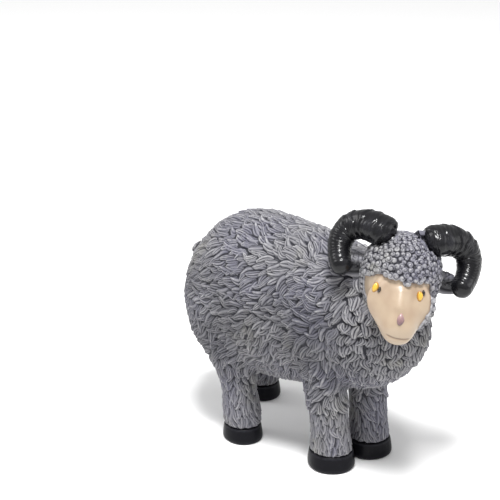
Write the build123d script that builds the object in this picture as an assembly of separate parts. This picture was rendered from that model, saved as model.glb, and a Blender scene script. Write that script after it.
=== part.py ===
from build123d import *
from math import cos, pi, sin
import os

# A standing ram, a small ornament in cast and hand-painted resin. The body, head, horns, ears, tail and
# legs are separate castings, glued on pegs and wires that keep the thin parts from breaking off. Every
# painted colour (face, eyes, nose, hooves) is a solid of its own.
# Millimetres, +Z up. The ram stands on Z = 0 and looks along -Y, and its own left is +X. The head is
# turned to its own right. The origin is under the middle of the finished figure's bounding box.

# Fits and cuts
glue_gap = 0.05
overrun = 2.0

# Torso: one long barrel from the chest to the rump, deepest behind the middle
torso_length = 88.2
torso_width = 44.5
torso_depth = 52.4
belly_height = 21.5
chest_forward = 46.0
# Each station is a share of the length, a share of the width, and the underside and the back as shares
# of the depth above the belly.
torso_station_shares = (
    (0.03, 0.35, 0.335, 0.66),
    (0.09, 0.58, 0.22, 0.79),
    (0.18, 0.73, 0.13, 0.89),
    (0.32, 0.86, 0.08, 0.945),
    (0.48, 0.97, 0.02, 0.981),
    (0.64, 1.0, 0.0, 1.0),
    (0.79, 0.96, 0.01, 0.972),
    (0.90, 0.75, 0.085, 0.84),
    (0.965, 0.45, 0.208, 0.67),
)
chest_point_share = 0.50
rump_point_share = 0.43

# Head: its own frame has its middle in the skull, looks along -Y and is turned, nodded and tilted
head_behind_chest = 6.3
head_below_back = 5.8
head_to_right = 3.1
head_turn_angle = -56.0
head_nod_angle = 4.0
head_tilt_angle = 10.4
skull_width = 22.0
skull_length = 25.0
skull_height = 27.0

# Face: a wedge that drops from the brow to a blunt muzzle
face_width = 18.4
face_height = 14.0
face_reach = 19.8
muzzle_lean = 1.6
# Each station is a share of the reach, of the width and of the height, and the drop of its middle as a
# share of the height.
face_station_shares = (
    (0.30, 0.98, 1.0, -0.07),
    (0.55, 1.0, 0.88, 0.14),
    (0.70, 0.86, 0.86, 0.38),
    (0.83, 0.58, 0.82, 0.56),
    (0.92, 0.45, 0.62, 0.63),
    (0.975, 0.27, 0.36, 0.64),
)
face_end_share = 0.645

# Eyes and nose: low domes of paint. The pupils miss the middle of the eyes, as the brush left them.
eye_spacing = 13.4
eye_shift = -0.7
eye_height = 0.6
eye_width = 2.1
eye_tall = 3.0
eye_dome = 0.45
paint_sink = 0.8
pupil_width = 0.9
pupil_tall = 1.6
pupil_dome = 0.5
right_pupil_inward = 1.2
right_pupil_up = -0.15
left_pupil_inward = -0.2
left_pupil_up = 1.1
nose_width = 2.2
nose_tall = 3.6
nose_dome = 0.4
nose_height = -4.6
nose_across = 1.0

# Horns: a coil that leaves the crown, sweeps out and back, and comes forward to a blunt tip
horn_base_diameter = 10.0
horn_tip_diameter = 6.2
horn_base_reach = 10.2
horn_coil_radius = 7.3
horn_out = 12.7
horn_up = 3.2
horn_back = 1.0
horn_sweep_back = 5.0
horn_tip_reach = 5.6
horn_tip_forward = 5.0
horn_start_angle = 128.0
horn_turn_angle = 153.0
horn_ring_count = 18
horn_ring_depth = 0.12
horn_tip_round = 2.0
horn_base_round = 1.4
horn_sweep_share = 0.9
horn_end_narrow_share = 0.8
horn_end_shares = (0.5, 0.85, 1.0)
horn_peg_diameter = 2.0
horn_peg_length = 10.0

# Ears: flat leaves that stand out below the horns
ear_length = 11.0
ear_width = 6.4
ear_thickness = 2.4
ear_out = 8.0
ear_up = -0.6
ear_back = 2.0
ear_droop_angle = 8.0
# Each station is a share of the length and a share of the width.
ear_station_shares = ((0.0, 0.6), (0.2, 0.88), (0.45, 1.0), (0.7, 0.86), (0.9, 0.5))

# Legs and hooves: thick columns that widen into the shoulders and the thighs. Their widths and insets
# are shares of the torso's width, so that the pairs keep clear of each other on a slimmer ram.
front_hoof_height = 5.6
front_hoof_length = 15.4
front_hoof_width_share = 0.3236
rear_hoof_height = 5.4
rear_hoof_length = 13.4
rear_hoof_width_share = 0.2831
hoof_edge = 0.8
hoof_top_share = 0.93
front_leg_width_share = 0.2697
front_leg_length = 12.6
rear_leg_width_share = 0.2607
rear_leg_length = 12.2
ankle_rise = 2.5
ankle_share = 1.07
leg_narrow_height = 15.0
shoulder_width_share = 0.3258
shoulder_length = 17.0
shoulder_swell_share = 0.45
thigh_width_share = 0.3708
thigh_length = 24.0
thigh_swell_share = 0.68
shoulder_inset_share = 0.1011
thigh_inset_share = 0.0674
leg_top_share = 0.42
knee_share = 0.5
# How far each station of a leg has moved from above the foot to its root
leg_lean_shares = (0.0, 0.03, 0.15, 0.55, 1.0)
# Where the feet and the roots of the legs are: inwards from the barrel's side, and from its chest or rump
front_right_foot_inset_share = 0.3067
front_right_foot_from_chest = 27.0
front_left_foot_inset_share = 0.3652
front_left_foot_from_chest = 23.1
rear_right_foot_inset_share = 0.2213
rear_right_foot_from_rump = 28.2
rear_left_foot_inset_share = 0.1697
rear_left_foot_from_rump = 13.8
right_shoulder_from_chest = 30.5
left_shoulder_from_chest = 28.0
right_thigh_from_rump = 20.2
left_thigh_from_rump = 17.2

# Tail: short and flat against the rump
tail_length = 15.5
tail_width = 9.0
tail_thickness = 4.4
tail_drop_share = 0.44
tail_forward = 1.6
tail_slope_angle = 15.0

# Wires in the legs, and the peg that holds the head
leg_wire_diameter = 2.0
leg_wire_clear = 2.0
neck_peg_diameter = 4.0
neck_peg_into_head = 3.0
neck_peg_into_torso = 14.0
neck_peg_root_share = 0.30


def blended(low, high, share):
    """The value that lies a share of the way from low to high."""
    return low + (high - low) * share


def oval(centre, along, across, width, height):
    """A closed oval of four arcs round a centre, square to the direction along."""
    plane = Plane(origin=centre, x_dir=across, z_dir=along)
    quarters = ((-45, 45), (45, 135), (135, 225), (225, 315))
    return Wire([Edge.make_ellipse(width / 2, height / 2, plane, low, high) for low, high in quarters])


def egg(width, length, height):
    """A solid egg round the origin: a loft of ovals between two poles along Y."""
    steps = 8
    rings = []
    for step in range(1, steps):
        angle = pi * step / steps
        centre = (0, -length / 2 * cos(angle), 0)
        rings.append(oval(centre, (0, 1, 0), (1, 0, 0), width * sin(angle), height * sin(angle)))
    return Solid.make_loft([Vertex(0, -length / 2, 0), *rings, Vertex(0, length / 2, 0)])


def rod(start, end, diameter):
    """A round bar between two points."""
    along = end - start
    return Solid.make_cylinder(diameter / 2, along.length, Plane(origin=start, z_dir=along))


def mirrored(shape, side):
    """The shape as drawn for the ram's left (side 1), or its mirror image for the right (side -1)."""
    if side > 0:
        return shape
    return shape.mirror(Plane.YZ)


def one_solid(shape):
    """The largest solid of a cut shape, without the crumbs that a cut may leave."""
    return max(shape.solids(), key=lambda solid: solid.volume)


def make_torso():
    """The barrel, a loft from the chest to the rump."""
    rings = []
    for along, wide, low, high in torso_station_shares:
        middle = belly_height + (low + high) / 2 * torso_depth
        centre = (0, along * torso_length - chest_forward, middle)
        rings.append(oval(centre, (0, 1, 0), (1, 0, 0), wide * torso_width, (high - low) * torso_depth))
    chest = Vertex(0, -chest_forward, belly_height + chest_point_share * torso_depth)
    rump = Vertex(0, torso_length - chest_forward, belly_height + rump_point_share * torso_depth)
    return Solid.make_loft([chest, *rings, rump])


def make_skull():
    """The woolly head behind the face, in the head's frame."""
    return egg(skull_width, skull_height, skull_length).rotate(Axis.X, 90)


def make_face():
    """The bare face, in the head's frame: a loft from inside the skull to a blunt muzzle that leans left."""
    rings = []
    for reach, wide, high, drop in face_station_shares:
        centre = (muzzle_lean * reach ** 3, -reach * face_reach, -drop * face_height)
        rings.append(oval(centre, (0, -1, 0), (1, 0, 0), wide * face_width, high * face_height))
    tip = Vertex(muzzle_lean, -face_reach, -face_end_share * face_height)
    return Solid.make_loft([*rings, tip])


def make_dome(face_shape, across, up, width, tall, dome):
    """An oval dome of paint on the face, at the point that a look straight at the face meets."""
    line = Axis((across, -face_reach - overrun, up), (0, 1, 0))
    point, normal = face_shape.find_intersection_points(line)[0]
    place = Plane(origin=point, x_dir=(0, 0, 1), z_dir=normal).location
    lens = egg(tall, 2 * (dome + paint_sink), width).rotate(Axis.X, 90)
    return place * Pos(0, 0, -paint_sink) * lens


def horn_point(share):
    """The middle of the left horn, a share of the way from its base to its tip."""
    angle = (horn_start_angle - horn_turn_angle * share) * pi / 180
    radius = blended(horn_coil_radius, horn_base_reach, (1 - share) ** 3)
    radius -= (horn_coil_radius - horn_tip_reach) * share ** 3
    back = horn_back + horn_sweep_back * sin(horn_sweep_share * pi * share) - horn_tip_forward * share ** 3
    return Vector(horn_out + radius * cos(angle), back, horn_up + radius * sin(angle))


def horn_direction(share):
    """The way that the left horn runs at a share of its length."""
    near_share = 0.01
    return (horn_point(min(share + near_share, 1)) - horn_point(max(share - near_share, 0))).normalized()


def horn_end(share, along, diameter):
    """The rings of a horn's rounded end, from the full section outwards. Along is the end's own length."""
    rings = []
    for end_share in horn_end_shares:
        centre = horn_point(share) + horn_direction(share) * (end_share * along)
        thick = diameter * (1 - horn_end_narrow_share * end_share ** 3)
        rings.append(oval(centre, horn_direction(share), (0, 1, 0), thick, thick))
    return rings


def make_horn():
    """The left horn: circles along a coil, in and out at each growth ring, round at both ends."""
    rings = horn_end(0, -horn_base_round, horn_base_diameter)[::-1]
    steps = 2 * horn_ring_count
    for step in range(steps + 1):
        share = step / steps
        thick = blended(horn_base_diameter, horn_tip_diameter, share)
        if step % 2:
            thick -= 2 * horn_ring_depth
        rings.append(oval(horn_point(share), horn_direction(share), (0, 1, 0), thick, thick))
    return Solid.make_loft([*rings, *horn_end(1, horn_tip_round, horn_tip_diameter)], ruled=True)


def make_horn_peg(diameter):
    """A bar across the joint between the left horn and the crown."""
    half = horn_direction(0) * (horn_peg_length / 2)
    return rod(horn_point(0) - half, horn_point(0) + half, diameter)


def make_ear():
    """The left ear: a flat leaf, widest before its middle."""
    rings = []
    for along, wide in ear_station_shares:
        centre = (ear_out + along * ear_length, ear_back, ear_up)
        rings.append(oval(centre, (1, 0, 0), (0, 1, 0), wide * ear_thickness, wide * ear_width))
    leaf = Solid.make_loft([*rings, Vertex(ear_out + ear_length, ear_back, ear_up)])
    return leaf.rotate(Axis((ear_out, ear_back, ear_up), (0, 1, 0)), ear_droop_angle)


def leg_top(foot, root_width, inset, top_y):
    """The middle of a leg's hidden upper end, inside the torso."""
    side = 1 if foot[0] > 0 else -1
    top_x = side * (half_torso - root_width / 2 - inset)
    return (top_x, top_y, belly_height + leg_top_share * torso_depth)


def make_leg(foot, top, hoof, leg, root):
    """One leg: a loft from the hoof up into the barrel. Leg and root each start with width and length."""
    hoof_height, hoof_width, hoof_length = hoof
    swell = root[2]
    knee_height = blended(leg_narrow_height, top[2], knee_share)
    stations = (
        (hoof_height, hoof_width * hoof_top_share, hoof_length * hoof_top_share),
        (hoof_height + ankle_rise, leg[0] * ankle_share, leg[1] * ankle_share),
        (leg_narrow_height, leg[0], leg[1]),
        (knee_height, blended(leg[0], root[0], swell), blended(leg[1], root[1], swell)),
        (top[2], root[0], root[1]),
    )
    rings = []
    for (height, wide, long), lean in zip(stations, leg_lean_shares):
        centre = (blended(foot[0], top[0], lean), blended(foot[1], top[1], lean), height)
        rings.append(oval(centre, (0, 0, 1), (1, 0, 0), wide, long))
    return Solid.make_loft(rings)


def make_hoof(foot, hoof):
    """One hoof: a flat-soled block with a broken lower edge, a little narrower at the top."""
    height, width, length = hoof
    rings = []
    for level, grow, share in ((0, -2 * hoof_edge, 1), (hoof_edge, 0, 1), (height, 0, hoof_top_share)):
        centre = (foot[0], foot[1], level)
        rings.append(oval(centre, (0, 0, 1), (1, 0, 0), width * share + grow, length * share + grow))
    return Solid.make_loft(rings, ruled=True)


def make_tail():
    """The tail: a flat drop of wool against the rump."""
    drop = egg(tail_width, tail_length, tail_thickness).rotate(Axis.X, 90 - tail_slope_angle)
    return Pos(0, rump_y - tail_forward, belly_height + (1 - tail_drop_share) * torso_depth) * drop


parts = {}
half_torso = torso_width / 2
rump_y = torso_length - chest_forward
head_middle = Vector(-head_to_right, head_behind_chest - chest_forward,
                     belly_height + torso_depth - head_below_back)
torso = make_torso()
head_place = (
    Location(head_middle)
    * Location((0, 0, 0), (0, 0, head_turn_angle))
    * Location((0, 0, 0), (head_nod_angle, 0, 0))
    * Location((0, 0, 0), (0, head_tilt_angle, 0))
)

# Head, with the face cut to fit its front
skull = head_place * make_skull()
face_shape = make_face()
face = one_solid((head_place * face_shape) - skull - torso)
head = one_solid(skull - torso)

# Eyes, pupils and nose
eye_sides = (
    ("left", 1, left_pupil_inward, left_pupil_up),
    ("right", -1, right_pupil_inward, right_pupil_up),
)
for name, side, inward, up in eye_sides:
    across = eye_shift + side * eye_spacing / 2
    eye = head_place * make_dome(face_shape, across, eye_height, eye_width, eye_tall, eye_dome)
    pupil = head_place * make_dome(face_shape, across - side * inward, eye_height + up, pupil_width,
                                   pupil_tall, pupil_dome)
    parts["eye_" + name] = one_solid(eye - face - skull - pupil)
    parts["pupil_" + name] = one_solid(pupil - face - skull)
nose = head_place * make_dome(face_shape, nose_across, nose_height, nose_width, nose_tall, nose_dome)
parts["nose"] = one_solid(nose - face)

# Horns with their pegs, and the ears
horn_shape = make_horn()
ear_shape = make_ear()
for name, side in (("left", 1), ("right", -1)):
    bore = head_place * mirrored(make_horn_peg(horn_peg_diameter + 2 * glue_gap), side)
    horn = one_solid((head_place * mirrored(horn_shape, side)) - skull - bore)
    ear = head_place * mirrored(ear_shape, side)
    head = one_solid(head - bore)
    parts["horn_" + name] = horn
    parts["horn_peg_" + name] = head_place * mirrored(make_horn_peg(horn_peg_diameter), side)
    parts["ear_" + name] = one_solid(ear - skull - horn - torso)

# Neck peg, along the line from the middle of the chest to the middle of the skull
chest_middle = Vector(0, neck_peg_root_share * torso_length - chest_forward,
                      belly_height + chest_point_share * torso_depth)
neck_line = (head_middle - chest_middle).normalized()
peg_low = head_middle - neck_line * neck_peg_into_torso
peg_high = head_middle + neck_line * neck_peg_into_head
neck_bore = rod(peg_low, peg_high, neck_peg_diameter + 2 * glue_gap)
parts["neck_peg"] = rod(peg_low, peg_high, neck_peg_diameter)
parts["head"] = one_solid(head - neck_bore)
parts["face"] = face

# Legs, hooves and the wires in them
front_hoof = (front_hoof_height, front_hoof_width_share * torso_width, front_hoof_length)
rear_hoof = (rear_hoof_height, rear_hoof_width_share * torso_width, rear_hoof_length)
front_leg = (front_leg_width_share * torso_width, front_leg_length)
rear_leg = (rear_leg_width_share * torso_width, rear_leg_length)
shoulder_width = shoulder_width_share * torso_width
shoulder_inset = shoulder_inset_share * torso_width
shoulder = (shoulder_width, shoulder_length, shoulder_swell_share, shoulder_inset)
thigh_width = thigh_width_share * torso_width
thigh_inset = thigh_inset_share * torso_width
thigh = (thigh_width, thigh_length, thigh_swell_share, thigh_inset)
front_left_x = half_torso - front_left_foot_inset_share * torso_width
front_right_x = front_right_foot_inset_share * torso_width - half_torso
rear_left_x = half_torso - rear_left_foot_inset_share * torso_width
rear_right_x = rear_right_foot_inset_share * torso_width - half_torso
front_left_foot = (front_left_x, front_left_foot_from_chest - chest_forward)
front_right_foot = (front_right_x, front_right_foot_from_chest - chest_forward)
rear_left_foot = (rear_left_x, rump_y - rear_left_foot_from_rump)
rear_right_foot = (rear_right_x, rump_y - rear_right_foot_from_rump)
left_shoulder = left_shoulder_from_chest - chest_forward
right_shoulder = right_shoulder_from_chest - chest_forward
legs = (
    ("front_left", front_left_foot, left_shoulder, front_hoof, front_leg, shoulder),
    ("front_right", front_right_foot, right_shoulder, front_hoof, front_leg, shoulder),
    ("rear_left", rear_left_foot, rump_y - left_thigh_from_rump, rear_hoof, rear_leg, thigh),
    ("rear_right", rear_right_foot, rump_y - right_thigh_from_rump, rear_hoof, rear_leg, thigh),
)
drilled = torso - neck_bore
for name, foot, top_y, hoof_sizes, leg_sizes, root_sizes in legs:
    top = leg_top(foot, root_sizes[0], root_sizes[3], top_y)
    wire_low = Vector(foot[0], foot[1], leg_wire_clear)
    bore = rod(wire_low, Vector(*top), leg_wire_diameter + 2 * glue_gap)
    leg = make_leg(foot, top, hoof_sizes, leg_sizes, root_sizes)
    parts["leg_" + name] = one_solid(leg - torso - bore)
    parts["hoof_" + name] = one_solid(make_hoof(foot, hoof_sizes) - bore)
    parts["leg_wire_" + name] = rod(wire_low, Vector(*top), leg_wire_diameter)
    drilled = drilled - bore
parts["torso"] = one_solid(drilled)
parts["tail"] = one_solid(make_tail() - torso)

# The origin goes under the middle of the whole figure
boxes = [shape.bounding_box() for shape in parts.values()]
middle_x = (min(box.min.X for box in boxes) + max(box.max.X for box in boxes)) / 2
middle_y = (min(box.min.Y for box in boxes) + max(box.max.Y for box in boxes)) / 2
os.makedirs("parts", exist_ok=True)
for name, shape in parts.items():
    export_step(Pos(-middle_x, -middle_y, 0) * shape, "parts/" + name + ".step")
print("middle of the figure before the shift", middle_x, middle_y)
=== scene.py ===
"""Dresses the packed parts of a small standing ram in painted cast resin, and sets up its picture.

Metres, +Z up, in the frame of the packed parts: the ram looks along -Y and its own left is +X.
"""

from math import cos, pi, radians, sin

import bmesh
import bpy
import numpy as np
from bpy.props import FloatProperty, FloatVectorProperty, IntProperty, PointerProperty
from mathutils import Matrix, Vector
from mathutils.kdtree import KDTree


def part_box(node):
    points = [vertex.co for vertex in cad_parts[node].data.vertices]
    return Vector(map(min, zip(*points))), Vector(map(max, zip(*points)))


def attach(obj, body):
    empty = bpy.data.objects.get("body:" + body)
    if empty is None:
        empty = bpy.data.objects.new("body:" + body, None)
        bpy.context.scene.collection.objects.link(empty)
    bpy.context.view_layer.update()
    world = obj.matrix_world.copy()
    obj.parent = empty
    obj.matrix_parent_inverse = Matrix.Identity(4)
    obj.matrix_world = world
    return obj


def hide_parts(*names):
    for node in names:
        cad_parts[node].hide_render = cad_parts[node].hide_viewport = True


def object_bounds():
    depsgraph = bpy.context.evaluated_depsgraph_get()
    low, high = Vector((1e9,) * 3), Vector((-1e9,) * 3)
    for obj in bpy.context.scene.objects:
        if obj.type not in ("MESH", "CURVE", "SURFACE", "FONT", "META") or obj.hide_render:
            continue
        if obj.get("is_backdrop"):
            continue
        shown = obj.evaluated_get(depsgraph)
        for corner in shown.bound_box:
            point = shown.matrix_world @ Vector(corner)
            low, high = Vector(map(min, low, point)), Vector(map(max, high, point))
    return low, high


bl_info = {
    "name": "Resin Ram Dressing",
    "version": (1, 0, 0),
    "blender": (4, 5, 0),
    "location": "View3D > Sidebar > Ram",
    "description": "Carves the fleece, face, horns, ears and hooves of a painted ram, and sets its stage",
    "category": "Object",
}

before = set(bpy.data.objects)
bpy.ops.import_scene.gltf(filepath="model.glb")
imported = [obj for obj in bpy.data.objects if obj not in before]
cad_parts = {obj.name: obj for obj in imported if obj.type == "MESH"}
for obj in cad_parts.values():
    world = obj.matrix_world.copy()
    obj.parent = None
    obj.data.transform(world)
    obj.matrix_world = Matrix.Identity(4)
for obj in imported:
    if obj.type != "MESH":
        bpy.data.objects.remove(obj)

SIDES = (("left", 1), ("right", -1))
LEGS = ("front_left", "front_right", "rear_left", "rear_right")
UP = np.array((0.0, 0.0, 1.0))
BACKWARD = np.array((0.0, 1.0, 0.0))
FINE = 1e-9


def size_property(name, description, default):
    """A length that the user can change."""
    return FloatProperty(name=name, description=description, default=default, min=0.0, unit="LENGTH",
                         subtype="DISTANCE", precision=5)


def angle_property(name, description, degrees):
    """An angle that the user can change."""
    return FloatProperty(name=name, description=description, default=radians(degrees), subtype="ANGLE")


def paint_property(name, description, default):
    """A paint colour that the user can change."""
    return FloatVectorProperty(name=name, description=description, default=default, min=0.0, max=1.0,
                               size=3, subtype="COLOR")


def dot_property(name, default):
    """The size of a dot of paint, which the user can change."""
    return FloatVectorProperty(name=name, description="Half width, half height and half thickness",
                               default=default, size=3, unit="LENGTH")


def roots_property(default):
    """How closely a skin is searched for places to start from, which the user can change."""
    return IntProperty(name="Roots", description="About how many points of the skin wool may start from",
                       default=default, min=1)


class RamFleeceSizes(bpy.types.PropertyGroup):
    """Sizes of the carved wool on the body and the legs."""

    grain: size_property("Grain", "Spacing of the points that the wool is carved with", 0.00022)
    blend_rounds: IntProperty(name="Blending", default=26, min=0,
                              description="How far legs, neck and tail melt into the barrel")
    lock_length: size_property("Lock Length", "Length of a lock on the back and the flanks", 0.0050)
    lock_width: size_property("Lock Width", "Width of a lock on the back and the flanks", 0.0027)
    lock_height: size_property("Lock Height", "How far a lock's tip stands out", 0.00095)
    lock_spacing: size_property("Lock Spacing", "Distance between the roots of locks", 0.0018)
    chest_length: size_property("Chest Curl Length", "Length of a curl on the chest", 0.0036)
    chest_width: size_property("Chest Curl Width", "Width of a curl on the chest", 0.0031)
    chest_height: size_property("Chest Curl Height", "How far a chest curl stands out", 0.0013)
    chest_spacing: size_property("Chest Curl Spacing", "Distance between the roots of chest curls", 0.0019)
    leg_length: size_property("Leg Tuft Length", "Length of a tuft on the legs", 0.0042)
    leg_width: size_property("Leg Tuft Width", "Width of a tuft on the legs", 0.0017)
    leg_height: size_property("Leg Tuft Height", "How far a tuft on the legs stands out", 0.00045)
    leg_spacing: size_property("Leg Tuft Spacing", "Distance between the roots of leg tufts", 0.0012)
    strand_depth: FloatProperty(name="Strand Depth", default=0.40, min=0.0, max=1.0,
                                description="Depth of the grooves between strands, as a share")
    settle: size_property("Settle", "How far the roots of the locks lie under the solids' surface", 0.00045)
    seed: IntProperty(name="Seed", default=7, min=0,
                      description="Another number scatters the wool in another way")


class RamHeadSizes(bpy.types.PropertyGroup):
    """Sizes and turns of the head, which follow those of the solid head."""

    turn: angle_property("Turn", "How far the head turns; below zero is to its right", -56.0)
    nod: angle_property("Nod", "How far the nose points down", 4.0)
    tilt: angle_property("Tilt", "How far the head leans sideways", 10.4)
    skull_width: size_property("Skull Width", "Width of the woolly skull", 0.022)
    skull_length: size_property("Skull Length", "Length of the woolly skull", 0.025)
    skull_height: size_property("Skull Height", "Height of the woolly skull", 0.027)
    grain: size_property("Grain", "Spacing of the points that the head is carved with", 0.00020)
    curl_size: size_property("Curl Size", "Diameter of a curl on the crown", 0.0021)
    curl_height: size_property("Curl Height", "How far a curl on the crown stands out", 0.00095)
    curl_spacing: size_property("Curl Spacing", "Distance between the curls on the crown", 0.00125)
    crown_drop: size_property("Crown Drop", "How far the wool between the horns is worn down", 0.0015)
    wool_rise: size_property("Wool Rise", "How far the wool stands above the bare face", 0.0004)
    bare_sink: size_property("Bare Sink", "How far the wool's skin lies under the bare face", 0.0011)
    wash_depth: size_property("Wash Depth", "Depth of a groove that is painted quite dark", 0.00040)


class RamHornSizes(bpy.types.PropertyGroup):
    """Sizes of the coiled horns, which follow those of the solid horns."""

    base_diameter: size_property("Base Diameter", "Thickness where the horn leaves the crown", 0.0100)
    tip_diameter: size_property("Tip Diameter", "Thickness at the blunt tip", 0.0064)
    base_reach: size_property("Base Reach", "Distance from the coil's middle to the base", 0.0102)
    coil_radius: size_property("Coil Radius", "Radius of the coil past its base", 0.0073)
    out: size_property("Out", "Sideways place of the coil's middle", 0.0127)
    up: size_property("Up", "Height of the coil's middle in the head", 0.0032)
    back: size_property("Back", "Place of the base behind the skull's middle", 0.0010)
    sweep_back: size_property("Sweep Back", "How far the middle of the horn swings back", 0.0050)
    tip_reach: size_property("Tip Reach", "Distance from the coil's middle to the tip", 0.0056)
    tip_forward: size_property("Tip Forward", "How far the tip comes forward", 0.0050)
    start_angle: angle_property("Start Angle", "Where the coil starts, from straight out", 128.0)
    turn_angle: angle_property("Coil Turn", "How far the coil turns", 153.0)
    end_round: size_property("Tip Rounding", "Length of the rounded tip", 0.0022)
    base_round: size_property("Base Rounding", "Length of the rounded base", 0.0030)
    groove_spacing: size_property("Groove Spacing", "Distance between fine growth grooves", 0.00095)
    groove_depth: size_property("Groove Depth", "Depth of the fine growth grooves", 0.00012)
    step_spacing: size_property("Step Spacing", "Distance between the coarse growth steps", 0.0030)
    step_depth: size_property("Step Depth", "Depth of the coarse growth steps", 0.00042)
    wide_wander: size_property("Wide Wander", "How far grooves swing along the horn", 0.00022)
    close_wander: size_property("Close Wander", "How far they tremble along the horn", 0.00016)


class RamPaints(bpy.types.PropertyGroup):
    """Paint colours, as linear light."""

    fleece: paint_property("Fleece", "Main grey of the wool", (0.152, 0.150, 0.164))
    fleece_cool: paint_property("Fleece Cool", "Violet slate of some patches", (0.112, 0.110, 0.143))
    fleece_worn: paint_property("Fleece Worn", "Yellowish grey of worn patches", (0.195, 0.191, 0.170))
    # The wash is also the painted shade in the grooves and on the flanks
    fleece_wash_and_shade: paint_property("Fleece Wash And Shade", "Dark wash in the grooves", (0.011, 0.011, 0.017))
    # The dry brush is also the painted highlight on the ridges
    fleece_brush_and_highlight: paint_property("Fleece Brush And Highlight", "Dry-brushed light on the ridges", (0.34, 0.336, 0.342))
    face: paint_property("Face", "Cream of the face", (0.375, 0.290, 0.205))
    face_warm: paint_property("Face Warm", "Pinkish tan of the cheeks", (0.330, 0.242, 0.168))
    # Also the painted shade in the eye sockets and beside the bridge
    face_shade: paint_property("Face Shade", "Tan wash at the edges and in the mouth", (0.17, 0.105, 0.065))
    horn: paint_property("Horn", "Black of the horns", (0.004, 0.004, 0.005))
    # Painted highlight on the ridges of the horns and the hooves
    gloss_sheen: paint_property("Gloss Sheen", "Grey that shows on the horns' edges", (0.030, 0.030, 0.036))
    hoof: paint_property("Hoof", "Black of the hooves", (0.005, 0.005, 0.007))
    iris: paint_property("Iris", "Golden yellow of the eyes", (0.60, 0.36, 0.035))
    iris_deep: paint_property("Iris Deep", "Ochre at the edge of the eyes", (0.36, 0.17, 0.02))
    pupil: paint_property("Pupil", "Brown-black of the pupils", (0.020, 0.012, 0.008))
    nose: paint_property("Nose", "Mauve grey of the nose", (0.13, 0.070, 0.080))
    # Painted highlight at the top of the nose
    nose_highlight: paint_property("Nose Highlight", "Pink at the top of the nose", (0.34, 0.21, 0.20))
    ear_inside: paint_property("Ear Inside", "Dark grey inside the ears", (0.014, 0.014, 0.018))
    steel: paint_property("Steel", "Bare wire", (0.45, 0.45, 0.46))
    floor: paint_property("Floor", "Pale floor", (0.90, 0.90, 0.90))


class RamStudio(bpy.types.PropertyGroup):
    """The camera and the lights."""

    azimuth: angle_property("Azimuth", "Where the camera looks from", -52.0)
    elevation: angle_property("Elevation", "How far the camera looks down", 25.0)
    distance: size_property("Distance", "From the camera to the point that it was set up on", 0.45)
    aim_right: FloatProperty(name="Aim Right", description="That point, +X from the front right hoof",
                             default=0.00476, unit="LENGTH")
    aim_back: FloatProperty(name="Aim Back", description="That point, +Y from the front right hoof",
                            default=0.01612, unit="LENGTH")
    aim_height: size_property("Aim Height", "That point, above the floor", 0.040)
    focal_pixels: FloatProperty(name="Focal Length", description="Focal length in pixels of the picture",
                                default=1428.57, min=1.0)
    aim_column: FloatProperty(name="Aim Column", default=300.0,
                              description="Where that point is in the picture, in pixels")
    aim_row: FloatProperty(name="Aim Row", default=330.0,
                           description="Where that point is in the picture, in pixels")
    picture: FloatProperty(name="Picture", description="Width and height of the picture in pixels",
                           default=500.0, min=1.0)
    room_light: FloatProperty(name="Room Light", description="Strength of the light from all round",
                              default=0.68, min=0.0)


SETTINGS = {
    "ram_fleece": RamFleeceSizes,
    "ram_head": RamHeadSizes,
    "ram_horns": RamHornSizes,
    "ram_paints": RamPaints,
    "ram_studio": RamStudio,
}


def settings(name):
    """One group of settings of the scene."""
    return getattr(bpy.context.scene, name)


def pick(piece):
    """Makes one object the only selected and the active one."""
    bpy.ops.object.select_all(action="DESELECT")
    piece.select_set(True)
    bpy.context.view_layer.objects.active = piece


def apply_modifier(piece, kind, **values):
    """Adds one modifier with these values and applies it."""
    modifier = piece.modifiers.new(kind.title(), kind)
    for key, value in values.items():
        setattr(modifier, key, value)
    pick(piece)
    bpy.ops.object.modifier_apply(modifier=modifier.name)


def box_corners(node):
    """The lower and the upper corner of a packed part's box."""
    return [np.array(corner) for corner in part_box(node)]


def solid_copy(name, *nodes):
    """One new object made of copies of packed parts."""
    joined = bmesh.new()
    for node in nodes:
        joined.from_mesh(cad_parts[node].data)
    mesh = bpy.data.meshes.new(name)
    joined.to_mesh(mesh)
    joined.free()
    return linked_object(name, mesh)


def linked_object(name, data):
    """A new object in the scene that holds this data."""
    made = bpy.data.objects.new(name, data)
    bpy.context.scene.collection.objects.link(made)
    return made


def named_piece(name):
    """The object that an operator just made, with this name."""
    piece = bpy.context.object
    piece.name = piece.data.name = name
    return piece


def finish_piece(piece, material, slot, *nodes):
    """Gives a piece its material and hangs it on the body in place of packed parts; the slot is not used.
    """
    piece.data.materials.clear()
    piece.data.materials.append(material)
    polygons = piece.data.polygons
    polygons.foreach_set("material_index", np.zeros(len(polygons), np.int32))
    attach(piece, "root")
    if nodes:
        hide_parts(*nodes)


def smooth_step(values, low, high):
    """0 below low, 1 above high, and a smooth ramp between them."""
    share = np.clip((values - low) / (high - low), 0.0, 1.0)
    return share * share * (3.0 - 2.0 * share)


def unit(vectors):
    """Vectors of length one."""
    return vectors / np.maximum(np.linalg.norm(vectors, axis=-1, keepdims=True), FINE)


def ripple(places, wave, turn):
    """A smooth wander between -1 and 1 over the surface, with about this wavelength."""
    step = 2.0 * pi / wave
    x, y, z = (places[..., axis] * step for axis in range(3))
    first = np.sin(x + 1.3 * np.sin(0.7 * y + turn) + turn)
    second = np.sin(0.9 * y + 1.1 * np.sin(0.8 * z - turn) + 2.0 * turn)
    third = np.sin(1.1 * z + 1.2 * np.sin(0.6 * x + 3.0 * turn) - turn)
    return (first + second + third) / 3.0


def rows(items, name):
    """The vectors that a mesh's items hold under a name, as rows."""
    values = np.empty(len(items) * 3, np.float32)
    items.foreach_get(name, values)
    return values.reshape(-1, 3)


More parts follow.
